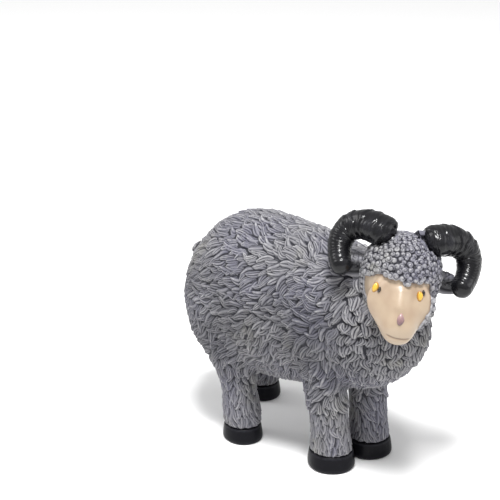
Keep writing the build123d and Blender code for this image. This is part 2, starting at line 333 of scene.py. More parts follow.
def vertex_places(mesh):
    """The places of a mesh's vertices, as rows."""
    return rows(mesh.vertices, "co").astype(float)


def vertex_normals(mesh):
    """The normals of a mesh's vertices, as rows."""
    return rows(mesh.vertex_normals, "vector").astype(float)


def set_places(mesh, places):
    """Moves a mesh's vertices."""
    mesh.vertices.foreach_set("co", places.astype(np.float32).ravel())
    mesh.update()


def set_attribute(mesh, name, values):
    """Stores one number for each vertex, for the materials to read."""
    attribute = mesh.attributes.get(name) or mesh.attributes.new(name, "FLOAT", "POINT")
    attribute.data.foreach_set("value", values.astype(np.float32))


class HeadFrame:
    """The head's own frame: x to the ram's left, y back, z up, from the middle of the skull."""

    def __init__(self):
        sizes = settings("ram_head")
        turns = ((sizes.turn, "Z"), (sizes.nod, "X"), (sizes.tilt, "Y"))
        matrix = Matrix.Identity(3)
        for angle, axis in turns:
            matrix = matrix @ Matrix.Rotation(angle, 3, axis)
        self.axes = np.array(matrix)
        self.half = np.array((sizes.skull_width, sizes.skull_length, sizes.skull_height)) / 2.0
        reach = np.linalg.norm(self.axes * self.half, axis=1)
        low, high = box_corners("head")
        self.middle = np.array((low[0] + reach[0], low[1] + reach[1], high[2] - reach[2]))

    def inside(self, places):
        """Places of the ornament, in the head's frame."""
        return (places - self.middle) @ self.axes

    def outside(self, places):
        """Places of the head's frame, in the ornament's."""
        return places @ self.axes.T + self.middle

    def away(self, places):
        """1 on the skull's surface, less in it and more outside."""
        return np.linalg.norm(self.inside(places) / self.half, axis=-1)


class Carving:
    """The skin of a piece while locks and curls are raised on it."""

    # Rounds of evening out, after which strands, and whole locks, are told from what is round them
    strand_rounds = 6
    lock_rounds = 60

    def __init__(self, piece, cell):
        mesh = piece.data
        self.piece = piece
        self.places = vertex_places(mesh)
        self.normals = vertex_normals(mesh)
        count = len(self.places)
        ends = np.empty(len(mesh.edges) * 2, np.int32)
        mesh.edges.foreach_get("vertices", ends)
        self.ends = ends.reshape(-1, 2)
        self.degree = np.bincount(self.ends.ravel(), minlength=count).astype(float)
        self.rise = np.zeros(count)
        self.strand = np.zeros(count)
        self.tint = np.zeros(count)
        self.cell = cell
        keys = np.floor(self.places / cell).astype(np.int64)
        self.low = keys.min(axis=0)
        self.span = keys.max(axis=0) - self.low + 1
        flat = self.key(keys[:, 0], keys[:, 1], keys[:, 2])
        self.order = np.argsort(flat, kind="stable")
        self.sorted_keys = flat[self.order]

    def key(self, column, row, level):
        """The number of a cell of the grid."""
        column, row, level = column - self.low[0], row - self.low[1], level - self.low[2]
        return (column * self.span[1] + row) * self.span[2] + level

    def near(self, middle, reach):
        """The numbers of the points in the cells round a place."""
        first = np.maximum(np.floor((middle - reach) / self.cell).astype(int), self.low)
        last = np.minimum(np.floor((middle + reach) / self.cell).astype(int), self.low + self.span - 1)
        found = []
        for column in range(first[0], last[0] + 1):
            for row in range(first[1], last[1] + 1):
                bounds = (self.key(column, row, first[2]), self.key(column, row, last[2]) + 1)
                start, stop = np.searchsorted(self.sorted_keys, bounds)
                found.append(self.order[start:stop])
        return np.concatenate(found) if found else np.empty(0, int)

    def show(self, numbers, heights, strands, tint):
        """Raises points to new heights where these are above the present ones."""
        higher = heights > self.rise[numbers]
        numbers = numbers[higher]
        self.rise[numbers] = heights[higher]
        self.strand[numbers] = strands[higher]
        self.tint[numbers] = tint

    def lock(self, number, along, lock):
        """Raises one lock of wool that starts at a point: low at its root, high and round at its tip."""
        root, normal = self.places[number], self.normals[number]
        length, half_width = lock["length"], lock["width"] / 2.0
        numbers = self.near(root + along * length / 2.0, length * 0.72)
        offset = self.places[numbers] - root
        share = offset @ along / length
        keep = (share > 0.0) & (share < 1.0) & (np.abs(offset @ normal) < 0.6 * length)
        keep &= self.normals[numbers] @ normal > 0.15
        numbers, offset, share = numbers[keep], offset[keep], share[keep]
        swing = lock["sway"] * np.sin(pi * share) + lock["hook"] * share ** 2
        root_outline = np.minimum(1.0, np.sqrt(share / 0.3))
        outline = root_outline * (1.0 - np.clip((share - 0.5) / 0.5, 0, 1) ** 3) ** 0.6
        aside = offset @ np.cross(normal, along) - half_width * swing
        side = aside / np.maximum(half_width * outline, FINE)
        keep = np.abs(side) < 1.0
        numbers, share, side = numbers[keep], share[keep], side[keep]
        strand = side * lock["strands"] / 2.0 + lock["phase"]
        ridge = np.abs(np.cos(pi * strand)) ** 0.7
        dome = (1.0 - np.abs(side) ** 2.5) ** 0.55 * (0.28 + 0.72 * share ** 0.9)
        heights = lock["base"] + lock["height"] * dome * (1.0 - lock["groove"] * (1.0 - ridge))
        self.show(numbers, heights, strand, lock["tint"])

    def curl(self, middle, normal, up, curl):
        """Raises one snail-shaped curl of wool."""
        radius = curl["radius"]
        numbers = self.near(middle, radius * 1.1)
        offset = self.places[numbers] - middle
        across = np.cross(normal, up)
        x, y = offset @ across / radius, offset @ up / radius
        apart = np.hypot(x, y)
        keep = (apart < 1.0) & (np.abs(offset @ normal) < 1.6 * radius)
        keep &= self.normals[numbers] @ normal > 0.1
        numbers, x, y, apart = numbers[keep], x[keep], y[keep], apart[keep]
        angle = np.arctan2(y, x) * curl["hand"] + curl["phase"]
        turn = apart * curl["turns"] - angle / (2.0 * pi)
        ridge = np.abs(np.cos(pi * turn)) ** 0.6
        dome = (1.0 - apart ** 2.4) ** 0.5
        open_part = smooth_step(apart, 0.15, 0.45)
        heights = curl["base"] + curl["height"] * dome * (1.0 - curl["groove"] * open_part * (1.0 - ridge))
        self.show(numbers, heights, turn, curl["tint"])

    def blurred(self, values, rounds):
        """Values evened out over the surface."""
        first, second = self.ends.T
        count = len(values)
        for _ in range(rounds):
            total = np.bincount(first, values[second], count) + np.bincount(second, values[first], count)
            values = (values + total / self.degree) / 2.0
        return values

    def finish(self, depth):
        """Moves the points out, and stores how deep in a groove or high on a ridge each one is."""
        strands_even = self.blurred(self.rise, self.strand_rounds)
        locks_even = self.blurred(strands_even, self.lock_rounds - self.strand_rounds)
        close, wide = self.rise - strands_even, self.rise - locks_even
        mesh = self.piece.data
        set_places(mesh, self.places + self.normals * self.rise[:, None])
        # The groove is painted dark, a wash that is also painted shade; the ridge is painted light, a dry
        # brush that is also a painted highlight
        set_attribute(mesh, "groove", np.clip(-close / depth * 2.1 - wide / depth * 2.0, 0.0, 1.0))
        set_attribute(mesh, "ridge", np.clip(close / depth * 1.2 + wide / depth * 0.9, 0.0, 1.0))
        set_attribute(mesh, "strand", self.strand)
        set_attribute(mesh, "tint", self.tint)


def thinned(numbers, count):
    """About this many of some numbers, picked at even steps."""
    return numbers[:: max(1, len(numbers) // count)]


def scatter(places, spacing, chance):
    """Numbers of places in random order, none nearer to another than its spacing."""
    tree = KDTree(len(places))
    for number, place in enumerate(places):
        tree.insert(place, number)
    tree.balance()
    free = np.ones(len(places), bool)
    chosen = []
    for number in chance.permutation(len(places)):
        if free[number]:
            chosen.append(number)
            for _, other, _ in tree.find_range(places[number], spacing[number]):
                free[other] = False
    return np.array(chosen)


def square_to(normal, along):
    """A direction, made square to a normal."""
    return unit(along - (along @ normal) * normal)


def turned(along, normal, angle):
    """A direction on the surface, made square to the normal and turned about it."""
    along = square_to(normal, along)
    return along * cos(angle) + np.cross(normal, along) * sin(angle)


def blended_skin(piece, grain, rounds):
    """Melts a piece's solids into one closed skin of even squares, as fine as the grain."""
    apply_modifier(piece, "REMESH", mode="VOXEL", voxel_size=2.0 * grain)
    apply_modifier(piece, "SMOOTH", factor=0.5, iterations=rounds)
    pick(piece)
    bpy.ops.object.mode_set(mode="EDIT")
    bpy.ops.mesh.select_all(action="SELECT")
    bpy.ops.mesh.subdivide(number_cuts=1)
    bpy.ops.object.mode_set(mode="OBJECT")
    apply_modifier(piece, "SMOOTH", factor=0.5, iterations=4)


def open_rims(quads):
    """The rims round the holes of a mesh of squares, each a list of edges that follow one another."""
    first, second = quads.ravel(), np.roll(quads, -1, axis=1).ravel()
    count = int(quads.max()) + 1
    is_rim = ~np.isin(first.astype(np.int64) * count + second, second.astype(np.int64) * count + first)
    following = {}
    for start, stop in zip(first[is_rim].tolist(), second[is_rim].tolist()):
        following.setdefault(start, []).append(stop)
    rims = []
    while following:
        start = next(iter(following))
        rim = []
        while start in following:
            stop = following[start].pop()
            if not following[start]:
                del following[start]
            rim.append((start, stop))
            start = stop
        rims.append(rim)
    return rims


def part_of(piece, name, wanted):
    """A new closed piece made of the wanted faces of a finished one, shaded as if still together."""
    mesh = piece.data
    skirt_depth = 3.0 * settings("ram_fleece").lock_height
    corner_numbers = np.empty(len(mesh.loops), np.int32)
    mesh.loops.foreach_get("vertex_index", corner_numbers)
    quads = corner_numbers.reshape(-1, 4)[wanted]
    used, quads = np.unique(quads, return_inverse=True)
    quads = quads.reshape(-1, 4)
    places, normals = vertex_places(mesh)[used], vertex_normals(mesh)[used]
    hidden, caps = [], []
    for rim in open_rims(quads):
        numbers = [first for first, _ in rim]
        skirt = places[numbers] - normals[numbers] * skirt_depth
        base = len(places) + len(hidden)
        hidden.extend((*skirt, skirt.mean(axis=0)))
        for number, (first, second) in enumerate(rim):
            below, next_below = base + number, base + (number + 1) % len(rim)
            caps.append((second, first, below))
            caps.append((second, below, next_below))
            caps.append((next_below, below, base + len(rim)))
    part = bpy.data.meshes.new(name)
    part.from_pydata(np.concatenate((places, hidden)), [], quads.tolist() + caps)
    for source in mesh.attributes:
        if source.domain == "POINT" and source.data_type == "FLOAT":
            values = np.empty(len(mesh.vertices), np.float32)
            source.data.foreach_get("value", values)
            set_attribute(part, source.name, np.concatenate((values[used], np.zeros(len(hidden)))))
    part.shade_smooth()
    hidden_normals = np.tile(UP, (len(hidden), 1))
    part.normals_split_custom_set_from_vertices(np.concatenate((normals, hidden_normals)))
    return linked_object(name, part)


# Materials


def new_node(tree, kind, **values):
    """A node with its settings, and its inputs by name."""
    node = tree.nodes.new(kind)
    for key, value in values.items():
        if hasattr(node, key):
            setattr(node, key, value)
        else:
            node.inputs[key.replace("_", " ")].default_value = value
    return node


def mixed(tree, share, first, second):
    """The output of a colour mix; each input is a socket or a colour."""
    node = new_node(tree, "ShaderNodeMix", data_type="RGBA", clamp_factor=True)
    for socket, value in ((node.inputs[0], share), (node.inputs[6], first), (node.inputs[7], second)):
        if isinstance(value, bpy.types.NodeSocket):
            tree.links.new(value, socket)
        elif isinstance(value, float):
            socket.default_value = value
        else:
            socket.default_value = (*value, 1.0)
    return node.outputs[2]


def compute(tree, operation, first, second, clamp=False):
    """The output of an operation on two numbers; each input is a socket or a number."""
    node = new_node(tree, "ShaderNodeMath", operation=operation, use_clamp=clamp)
    for socket, value in zip(node.inputs, (first, second)):
        if isinstance(value, bpy.types.NodeSocket):
            tree.links.new(value, socket)
        else:
            socket.default_value = value
    return node.outputs[0]


def noise(tree, where, scale, detail=3.0, roughness=0.55):
    """A noise's factor."""
    node = new_node(tree, "ShaderNodeTexNoise", Scale=scale, Detail=detail, Roughness=roughness)
    tree.links.new(where, node.inputs["Vector"])
    return node.outputs["Fac"]


def ramp(tree, value, low, high):
    """A value stretched so that low gives 0 and high gives 1."""
    node = new_node(tree, "ShaderNodeMapRange", clamp=True)
    for socket, number in zip(node.inputs[1:5], (low, high, 0.0, 1.0)):
        socket.default_value = number
    tree.links.new(value, node.inputs[0])
    return node.outputs[0]


def attribute(tree, name):
    """A number stored at the vertices."""
    return new_node(tree, "ShaderNodeAttribute", attribute_name=name).outputs["Fac"]


def bump(tree, shader, height, strength, distance):
    """Bends a shader's normal by a height."""
    node = new_node(tree, "ShaderNodeBump", Strength=strength, Distance=distance)
    tree.links.new(height, node.inputs["Height"])
    tree.links.new(node.outputs["Normal"], shader.inputs["Normal"])


def roughen(tree, shader, grain, spread, least):
    """Links a roughness that goes up with a grain, from the least by this spread."""
    rough = compute(tree, "ADD", compute(tree, "MULTIPLY", grain, spread), least)
    tree.links.new(rough, shader.inputs["Roughness"])


def shade_and_highlight_group():
    """The shared look of hand-painted resin: patches, a wash in the grooves that is also painted shade, and
    dry-brushed ridges that are also painted highlights.
    """
    name = "Paint With Shade And Highlight"
    if name in bpy.data.node_groups:
        return bpy.data.node_groups[name]
    tree = bpy.data.node_groups.new(name, "ShaderNodeTree")
    for socket, kind in (("Where", "NodeSocketVector"), ("Paint", "NodeSocketColor"),
                         ("Patch", "NodeSocketColor"), ("Wash", "NodeSocketColor"),
                         ("Brush", "NodeSocketColor"), ("Groove", "NodeSocketFloat"),
                         ("Ridge", "NodeSocketFloat"), ("Patch Scale", "NodeSocketFloat")):
        tree.interface.new_socket(socket, in_out="INPUT", socket_type=kind)
    for socket, kind in (("Color", "NodeSocketColor"), ("Grain", "NodeSocketFloat")):
        tree.interface.new_socket(socket, in_out="OUTPUT", socket_type=kind)
    given = new_node(tree, "NodeGroupInput").outputs
    patches = new_node(tree, "ShaderNodeTexNoise", Detail=2.0, Roughness=0.5)
    tree.links.new(given["Where"], patches.inputs["Vector"])
    tree.links.new(given["Patch Scale"], patches.inputs["Scale"])
    speckle = noise(tree, given["Where"], 900.0, 4.0, 0.7)
    patch_share = ramp(tree, patches.outputs["Fac"], 0.42, 0.62)
    colour = mixed(tree, patch_share, given["Paint"], given["Patch"])
    # Painted shade: the wash darkens the grooves
    wash_and_shade_share = compute(tree, "MULTIPLY", given["Groove"], ramp(tree, speckle, 0.0, 0.35), clamp=True)
    colour = mixed(tree, wash_and_shade_share, colour, given["Wash"])
    # Painted highlight: the dry brush lightens the ridges
    brush_and_highlight_share = compute(tree, "MULTIPLY", given["Ridge"], ramp(tree, speckle, 0.30, 0.62), clamp=True)
    colour = mixed(tree, brush_and_highlight_share, colour, given["Brush"])
    result = new_node(tree, "NodeGroupOutput")
    tree.links.new(colour, result.inputs["Color"])
    tree.links.new(speckle, result.inputs["Grain"])
    return tree


def shade_and_highlight_paint(tree, where, paints, groove, ridge, patch_scale):
    """Places the shared paint look in a material, and gives its node."""
    node = new_node(tree, "ShaderNodeGroup")
    node.node_tree = shade_and_highlight_group()
    for name, colour in zip(("Paint", "Patch", "Wash", "Brush"), paints):
        node.inputs[name].default_value = (*colour, 1.0)
    node.inputs["Patch Scale"].default_value = patch_scale
    tree.links.new(where, node.inputs["Where"])
    tree.links.new(groove, node.inputs["Groove"])
    tree.links.new(ridge, node.inputs["Ridge"])
    return node


def new_material(name, **values):
    """A material with its shader's even values: gives it, its tree, its shader and the object's places."""
    material = bpy.data.materials.new(name)
    material.use_nodes = True
    tree = material.node_tree
    shader = tree.nodes["Principled BSDF"]
    for key, value in values.items():
        shader.inputs[key.replace("_", " ")].default_value = value
    where = new_node(tree, "ShaderNodeTexCoord").outputs["Object"]
    return material, tree, shader, where


def fleece_paints():
    """The four paints of the wool: its main one, the patches', the wash that also paints the shade in the
    grooves, and the dry brush that also paints the highlights on the ridges.
    """
    paints = settings("ram_paints")
    return paints.fleece, paints.fleece_cool, paints.fleece_wash_and_shade, paints.fleece_brush_and_highlight


def fleece_material():
    """Grey paint with a violet slate cast, a dark wash between the strands that is also painted shade,
    dry-brushed lock tips that are also painted highlights, and painted shade on the flanks.
    """
    if "worn_shaded_fleece" in bpy.data.materials:
        return bpy.data.materials["worn_shaded_fleece"]
    paints = settings("ram_paints")
    material, tree, shader, where = new_material("worn_shaded_fleece", Specular_IOR_Level=0.30)
    strand = new_node(tree, "ShaderNodeMath", operation="PINGPONG")
    tree.links.new(attribute(tree, "strand"), strand.inputs[0])
    strand.inputs[1].default_value = 0.5
    line = compute(tree, "POWER", compute(tree, "MULTIPLY", strand.outputs[0], 2.0), 3.0)
    # Painted shade in the lines between the strands, with the wash
    strand_wash_and_shade = compute(tree, "MULTIPLY", line, 0.42)
    groove = compute(tree, "ADD", attribute(tree, "groove"), strand_wash_and_shade, clamp=True)
    brushed_lock = compute(tree, "MULTIPLY", ramp(tree, attribute(tree, "tint"), 0.45, 1.0), 0.4)
    lit = compute(tree, "ADD", attribute(tree, "ridge"), brushed_lock)
    ridge = compute(tree, "SUBTRACT", lit, compute(tree, "MULTIPLY", line, 0.8), clamp=True)
    worn = shade_and_highlight_paint(tree, where, fleece_paints(), groove, ridge, 55.0)
    spots = ramp(tree, noise(tree, where, 110.0, 2.0), 0.52, 0.66)
    tree.links.new(mixed(tree, spots, paints.fleece, paints.fleece_worn), worn.inputs["Paint"])
    # Painted shade on the flanks and the lower barrel, clouded a little
    cloud = ramp(tree, noise(tree, where, 70.0, 2.0), 0.25, 0.60)
    flank_shade = compute(tree, "MULTIPLY", compute(tree, "MULTIPLY", attribute(tree, "flank_shade"), cloud), 0.40)
    colour = mixed(tree, flank_shade, worn.outputs["Color"], paints.fleece_wash_and_shade)
    tree.links.new(colour, shader.inputs["Base Color"])
    roughen(tree, shader, worn.outputs["Grain"], 0.25, 0.38)
    fine = noise(tree, where, 2600.0, 2.0)
    height = compute(tree, "SUBTRACT", compute(tree, "MULTIPLY", fine, 0.35), line)
    bump(tree, shader, height, 0.5, 0.00009)
    return material


def face_material():
    """Satin cream paint, warmer on the cheeks and washed with tan at its edges, with painted shade in the
    eye sockets and beside the bridge and a painted highlight down the bridge.
    """
    paints = settings("ram_paints")
    material, tree, shader, where = new_material("cream_face", Specular_IOR_Level=0.5, Coat_Weight=0.25,
                                                 Coat_Roughness=0.25)
    worn = shade_and_highlight_paint(tree, where, (paints.face, paints.face_warm, paints.face_shade, paints.face),
                      attribute(tree, "groove"), attribute(tree, "ridge"), 140.0)
    tree.links.new(worn.outputs["Color"], shader.inputs["Base Color"])
    roughen(tree, shader, worn.outputs["Grain"], 0.2, 0.28)
    brush_marks = noise(tree, where, 700.0, 3.0)
    bump(tree, shader, brush_marks, 0.25, 0.00008)
    return material


def gloss_material(name, paint, sheen, roughness, bump_scale, bump_depth, gloss):
    """Glossy paint with greyer painted highlights on its ridges, with the unevenness of a hand-painted
    coat.
    """
    material, tree, shader, where = new_material(name, Specular_IOR_Level=2.0 * gloss, Coat_Weight=gloss,
                                                 Coat_Roughness=0.08)
    worn = shade_and_highlight_paint(tree, where, (paint, paint, paint, sheen), attribute(tree, "groove"),
                      attribute(tree, "ridge"), 200.0)
    tree.links.new(worn.outputs["Color"], shader.inputs["Base Color"])
    roughen(tree, shader, worn.outputs["Grain"], 0.16, roughness)
    unevenness = noise(tree, where, bump_scale, 3.0)
    bump(tree, shader, unevenness, 0.4, bump_depth)
    return material


def two_tone_material(name, first, second, attribute_name, roughness):
    """A small dot of glossy paint that goes from one colour to another along a stored value."""
    material, tree, shader, where = new_material(name, Coat_Weight=0.5, Coat_Roughness=0.08)
    speckle = compute(tree, "MULTIPLY", compute(tree, "SUBTRACT", noise(tree, where, 1500.0), 0.5), 0.9)
    share = compute(tree, "ADD", attribute(tree, attribute_name), speckle, clamp=True)
    tree.links.new(mixed(tree, share, first, second), shader.inputs["Base Color"])
    roughen(tree, shader, noise(tree, where, 1200.0), 0.15, roughness)
    return material


def steel_material():
    """Drawn wire with fine scratches."""
    material, tree, shader, where = new_material("drawn_steel", Metallic=1.0)
    grain = noise(tree, where, 1800.0, 2.0)
    bright = settings("ram_paints").steel
    tree.links.new(mixed(tree, ramp(tree, grain, 0.3, 0.7), bright, [0.6 * value for value in bright]),
                   shader.inputs["Base Color"])
    roughen(tree, shader, grain, 0.3, 0.25)
    return material


# Fleece of the barrel and the legs

# Shares of the barrel's depth: how far up legs begin, and how far below that their own pieces end
LEG_LEVEL_SHARE = 0.05
LEG_PART_SHARE = 0.12
# The chest's share of the barrel's length, and how far forward its skin faces at least
CHEST_SHARE = 0.20
CHEST_FACING = 0.2
# How close the second round's roots are, as a share of the first round's spacing
SECOND_ROUND_SHARE = 0.62


class Barrel:
    """The barrel's corners and sizes, the level where the legs begin, and the top of the hooves."""

    def __init__(self):
        self.low, self.high = box_corners("torso")
        self.length, self.depth = self.high[1] - self.low[1], self.high[2] - self.low[2]
        self.leg_level = self.low[2] + LEG_LEVEL_SHARE * self.depth
        self.hoof_top = max(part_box("hoof_" + leg)[1][2] for leg in LEGS)

    def wool_direction(self, place):
        """The way that the wool runs: back along the spine, then down, and straight down at both ends."""
        height_share = (place[2] - self.low[2]) / self.depth
        length_share = (place[1] - self.low[1]) / self.length
        down = np.clip(1.05 - 1.05 * height_share, 0.12, 1.0)
        down += 0.9 * np.clip(1.0 - length_share / 0.30, 0.0, 1.0)
        down += 1.3 * np.clip((length_share - 0.80) / 0.20, 0.0, 1.0)
        return BACKWARD * max(0.0, 1.0 - 0.55 * down) - UP * down

    def flank_shade(self, places):
        """How far the wool is darkened with painted shade: most on the flanks, less on the chest, none on
        back and legs.
        """
        under_back = smooth_step((self.high[2] - places[:, 2]) / self.depth, 0.12, 0.45)
        above_legs = smooth_step((places[:, 2] - self.leg_level) / self.depth, -0.12, 0.18)
        behind_chest = 0.35 + 0.65 * smooth_step((places[:, 1] - self.low[1]) / self.length, 0.02, 0.25)
        return under_back * above_legs * behind_chest


class RAM_OT_fleece(bpy.types.Operator):
    """Carve the locks of wool on the barrel, the legs and the tail"""

    bl_idname = "ram.fleece"
    bl_label = "Carve Fleece"

    roots: roots_property(45000)
    under_head: size_property("Under Head", "How far the wool lies under the head's own", 0.0012)
    wash_depth: size_property("Wash Depth", "Depth of a groove that is painted quite dark", 0.00042)

    def execute(self, context):
        sizes = settings("ram_fleece")
        head, barrel = HeadFrame(), Barrel()
        chance = np.random.default_rng(sizes.seed)
        piece = solid_copy("fleece", "torso", "tail", "head", *("leg_" + leg for leg in LEGS))
        blended_skin(piece, sizes.grain, sizes.blend_rounds)
        skin = Carving(piece, sizes.lock_length / 2.0)
        skin.rise -= sizes.settle
        self.raise_locks(skin, head, barrel, chance)
        under_head = 1.0 - smooth_step(head.away(skin.places), 1.0, 1.07)
        skin.rise = skin.rise * (1.0 - under_head) - self.under_head * under_head
        skin.finish(self.wash_depth)
        # Stores the painted shade of the flanks for the wool's paint
        set_attribute(piece.data, "flank_shade", barrel.flank_shade(skin.places))
        self.share_out(piece, barrel)
        return {"FINISHED"}

    def raise_locks(self, skin, head, barrel, chance):
        """Raises a lock at each root of a first round, and then of a closer one where the skin is bare."""
        sizes = settings("ram_fleece")
        offered = thinned(chance.permutation(len(skin.places)), self.roots)
        places, normals = skin.places[offered], skin.normals[offered]
        on_leg = places[:, 2] < barrel.leg_level
        in_front = places[:, 1] < barrel.low[1] + CHEST_SHARE * barrel.length
        on_chest = ~on_leg & in_front & (normals[:, 1] < -CHEST_FACING)
        barrel_spacing = np.where(on_chest, sizes.chest_spacing, sizes.lock_spacing)
        spacing = np.where(on_leg, sizes.leg_spacing, barrel_spacing)
        first_round = scatter(places, spacing, chance)
        second_round = scatter(places, SECOND_ROUND_SHARE * spacing, chance)
        bare_below = 0.25 * sizes.leg_height - sizes.settle
        for turn, chosen in enumerate((*first_round, *second_round)):
            number = offered[chosen]
            if turn >= len(first_round) and skin.rise[number] > bare_below:
                continue
            if head.away(places[chosen]) < 1.0:
                continue
            region = "leg" if on_leg[chosen] else "chest" if on_chest[chosen] else "barrel"
            skin.lock(number, *self.new_lock(region, places[chosen], normals[chosen], barrel, chance))

    def new_lock(self, region, place, normal, barrel, chance):
        """The direction of one lock, and its sizes, which chance varies."""
        sizes = settings("ram_fleece")
        wander = ripple(place, 0.020, 0.4) * 0.75 + chance.normal(0.0, 0.16)
        lock = {"base": -sizes.settle, "sway": chance.uniform(-0.9, 0.9), "hook": chance.uniform(-1.5, 1.5),
                "phase": chance.uniform(0.0, 0.3), "tint": chance.random(), "groove": sizes.strand_depth}
        scale = chance.uniform(0.8, 1.2)
        if region == "leg":
            near_hoof = place[2] < barrel.hoof_top + 0.5 * sizes.leg_length
            along = turned(-UP, normal, 0.6 * wander + (chance.normal(0.0, 0.5) if near_hoof else 0.0))
            lock.update(length=sizes.leg_length * scale * (0.6 if near_hoof else 1.0),
                        width=sizes.leg_width * scale, height=sizes.leg_height * scale, strands=2)
        elif region == "chest":
            along = turned(-UP, normal, 0.7 * wander)
            lock.update(length=sizes.chest_length * scale, width=sizes.chest_width * scale,
                        height=sizes.chest_height * scale, strands=3, hook=chance.uniform(-1.4, 1.4))
        else:
            along = turned(barrel.wool_direction(place), normal, wander)
            width = sizes.lock_width * chance.uniform(0.75, 1.2)
            lock.update(length=sizes.lock_length * scale, width=width,
                        height=sizes.lock_height * scale, strands=int(chance.integers(2, 5)))
        return along, lock

    def share_out(self, piece, barrel):
        """Parts the carved skin into the legs and eight blocks of the barrel."""
        material = fleece_material()
        middles = rows(piece.data.polygons, "center")
        on_leg = middles[:, 2] < barrel.leg_level - LEG_PART_SHARE * barrel.depth
        feet = [sum(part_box("hoof_" + leg), Vector()) / 2.0 for leg in LEGS]
        apart = [np.hypot(middles[:, 0] - foot.x, middles[:, 1] - foot.y) for foot in feet]
        nearest = np.argmin(apart, axis=0)
        for number, leg in enumerate(LEGS):
            part = part_of(piece, "fleece_leg_" + leg, on_leg & (nearest == number))
            finish_piece(part, material, "fleece_paint", "leg_" + leg)
        waist = (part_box("leg_front_right")[1].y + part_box("leg_rear_right")[0].y) / 2.0
        level = (barrel.low[2] + barrel.high[2]) / 2.0
        for end, at_end in (("front", middles[:, 1] < waist), ("rear", middles[:, 1] >= waist)):
            nodes = ("torso", "tail") if end == "rear" else ("torso",)
            for layer, at_layer in (("upper", middles[:, 2] >= level), ("lower", middles[:, 2] < level)):
                for side, sign in SIDES:
                    wanted = at_end & at_layer & (middles[:, 0] * sign >= 0.0) & ~on_leg
                    part = part_of(piece, f"fleece_{end}_{layer}_{side}", wanted)
                    finish_piece(part, material, "fleece_paint", *nodes)
        bpy.data.objects.remove(piece)


# Head and face

# The bare face's outline from the front: heights and half widths, as shares of the skull's width
FACE_OUTLINE_SHARES = (
    (-0.740, 0.300), (-0.620, 0.300), (-0.500, 0.300), (-0.420, 0.315), (-0.360, 0.350), (-0.300, 0.392),
    (-0.250, 0.425), (-0.180, 0.455), (-0.090, 0.455), (0.000, 0.440), (0.090, 0.425), (0.150, 0.405),
    (0.300, 0.405),
)
# How a front view sees height in the head's frame: from z and from y
VIEW_Z_SHARE = 0.875
VIEW_Y_SHARE = 0.485
# How far the muzzle leans to the ram's left, and how far forms rise or sink, as shares of the skull's width
MUZZLE_LEAN_SHARE = 0.060
BRIDGE_RISE_SHARE = 0.034
SOCKET_DEPTH_SHARE = 0.014
MOUTH_DEPTH_SHARE = 0.009
CHIN_RISE_SHARE = 0.008
# In metres: how gently the wool ends at the face, how near to it curls start, and the face's hidden margin
EDGE_SOFTNESS = 0.0004
CURL_MARGIN = 0.0003
FACE_MARGIN = 0.0012
# Heights in the head's frame, downwards in metres, where curls start to shrink and where they stop
CHEEK_TOP = -0.002
CHEEK_BOTTOM = 0.006


def face_view(inside, head):
    """Across and height of places of the head's frame, as the front view of the face sees them."""
    width = head.half[0] * 2.0
    across = inside[:, 0] / width
    height = (inside[:, 2] * VIEW_Z_SHARE + inside[:, 1] * VIEW_Y_SHARE) / width + 0.229
    return across, height


def muzzle_lean(height):
    """How far the middle of the face has moved sideways at these heights."""
    return MUZZLE_LEAN_SHARE * smooth_step(-height, 0.1, 0.6)


def face_edge(inside, head):
    """How far places are outside the edge of the bare face, in metres; negative on the face."""
    width = head.half[0] * 2.0
    across, height = face_view(inside, head)
    heights, halves = np.array(FACE_OUTLINE_SHARES).T
    half = np.interp(height, heights, halves)
    sideways = np.abs(across - muzzle_lean(height) + 0.060) - half - 0.018
    hairline = 0.155 + 0.020 * np.cos(across * 21.0) - 0.105 * np.exp(-((across - 0.025) / 0.048) ** 2)
    above = height - hairline
    bare_cheek = 0.12 * smooth_step(-across, 0.0, 0.30) * (1.0 - 0.7 * smooth_step(-height, 0.10, 0.32))
    behind = inside[:, 1] / width + 0.30 - bare_cheek
    behind += 0.09 * smooth_step(across, 0.10, 0.35) * smooth_step(-height, -0.05, 0.20)
    return np.maximum(np.maximum(sideways, above), behind) * width


def head_skin(name):
    """The smooth skin of the skull and the face together."""
    piece = solid_copy(name, "head", "face")
    blended_skin(piece, settings("ram_head").grain, 10)
    return piece


